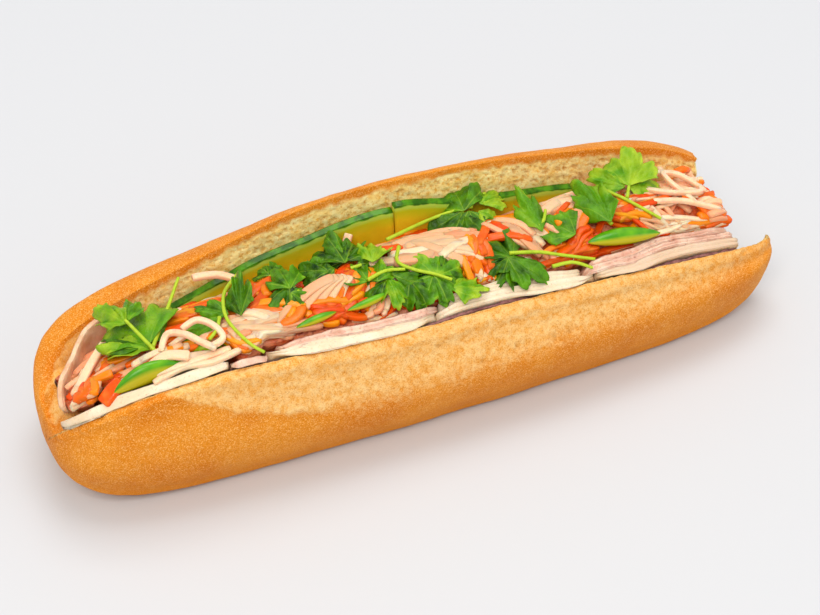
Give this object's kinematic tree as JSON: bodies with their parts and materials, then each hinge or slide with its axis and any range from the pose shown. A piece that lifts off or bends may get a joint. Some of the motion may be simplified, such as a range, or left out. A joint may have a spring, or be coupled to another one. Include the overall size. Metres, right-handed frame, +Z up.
{
  "type": "banh mi sandwich",
  "caption": "Long crusty roll hinged along one side and filled with sliced pork roll, ham, pate, cucumber, green chilli, pickled carrot and daikon, and coriander sprigs.",
  "frame": {"origin": "centre of the bounding box in plan, on the table", "axes": "+X along the roll towards its torn end, +Y towards the hinged back half, +Z up"},
  "size_m": [0.2788, 0.0834, 0.0664],
  "materials": {
    "bread": "dry golden crust, soft pale crumb inside the slot",
    "pate": "soft, moist spread",
    "pork_roll": "smooth, moist, pale sliced meat",
    "ham": "thin, moist, pink sliced meat",
    "cucumber": "wet, translucent flesh with a dark green skin edge",
    "chilli": "waxy green skin",
    "coriander": "fresh green leaf with a soft sheen",
    "pickle": "wet, translucent shreds"
  },
  "bodies": {
    "root": {"bread": "bread", "pate": "pate", "pork_roll_1": "pork_roll", "pork_roll_2": "pork_roll", "pork_roll_3": "pork_roll", "pork_roll_4": "pork_roll", "pork_roll_5": "pork_roll", "pork_roll_6": "pork_roll", "ham_1": "ham", "ham_2": "ham", "ham_3": "ham", "ham_4": "ham", "ham_5": "ham", "cucumber_1": "cucumber", "cucumber_2": "cucumber", "cucumber_3": "cucumber", "chilli_1": "chilli", "chilli_2": "chilli", "chilli_3": "chilli", "chilli_4": "chilli", "coriander_1": "coriander", "coriander_2": "coriander", "coriander_3": "coriander", "coriander_4": "coriander", "coriander_5": "coriander", "coriander_6": "coriander", "coriander_7": "coriander", "coriander_8": "coriander", "coriander_9": "coriander", "coriander_10": "coriander", "coriander_11": "coriander", "coriander_12": "coriander", "pickle_heap": "pickle"}
  },
  "joints": []
}
